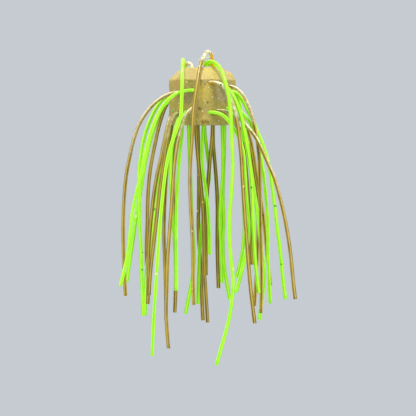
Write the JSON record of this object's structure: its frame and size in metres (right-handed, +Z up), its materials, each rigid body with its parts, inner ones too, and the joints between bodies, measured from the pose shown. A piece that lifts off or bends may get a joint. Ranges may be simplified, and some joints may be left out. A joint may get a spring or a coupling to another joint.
{
  "type": "skirted soft plastic fishing lure body",
  "caption": "Eight-sided soft plastic lure body with a chamfered crown and limp rubber strands set into it, hanging round it as a skirt.",
  "frame": {"origin": "centre of the body's flat underside, where the body rests on a post", "axes": "+Z up along the body's own axis towards its crown, -Y towards the side the picture shows, +X to the right seen from there; the strands hang down past the origin"},
  "size_m": [0.0386, 0.0305, 0.0685],
  "materials": {
    "body_soft_plastic": "satin",
    "strand_green": "satin",
    "strand_brown": "satin"
  },
  "bodies": {
    "root": {"lure_body": "body_soft_plastic", "strand_green_01": "strand_green", "strand_green_02": "strand_green", "strand_green_03": "strand_green", "strand_green_04": "strand_green", "strand_green_05": "strand_green", "strand_green_06": "strand_green", "strand_green_07": "strand_green", "strand_green_08": "strand_green", "strand_green_09": "strand_green", "strand_green_10": "strand_green", "strand_green_11": "strand_green", "strand_green_12": "strand_green", "strand_green_13": "strand_green", "strand_green_14": "strand_green", "strand_green_15": "strand_green", "strand_green_16": "strand_green", "strand_green_17": "strand_green", "strand_green_18": "strand_green", "strand_green_19": "strand_green", "strand_brown_01": "strand_brown", "strand_brown_02": "strand_brown", "strand_brown_03": "strand_brown", "strand_brown_04": "strand_brown", "strand_brown_05": "strand_brown", "strand_brown_06": "strand_brown", "strand_brown_07": "strand_brown", "strand_brown_08": "strand_brown", "strand_brown_09": "strand_brown", "strand_brown_10": "strand_brown", "strand_brown_11": "strand_brown", "strand_brown_12": "strand_brown", "strand_brown_13": "strand_brown", "strand_brown_14": "strand_brown", "strand_brown_15": "strand_brown", "strand_brown_16": "strand_brown", "strand_brown_17": "strand_brown", "strand_brown_18": "strand_brown"}
  },
  "joints": []
}
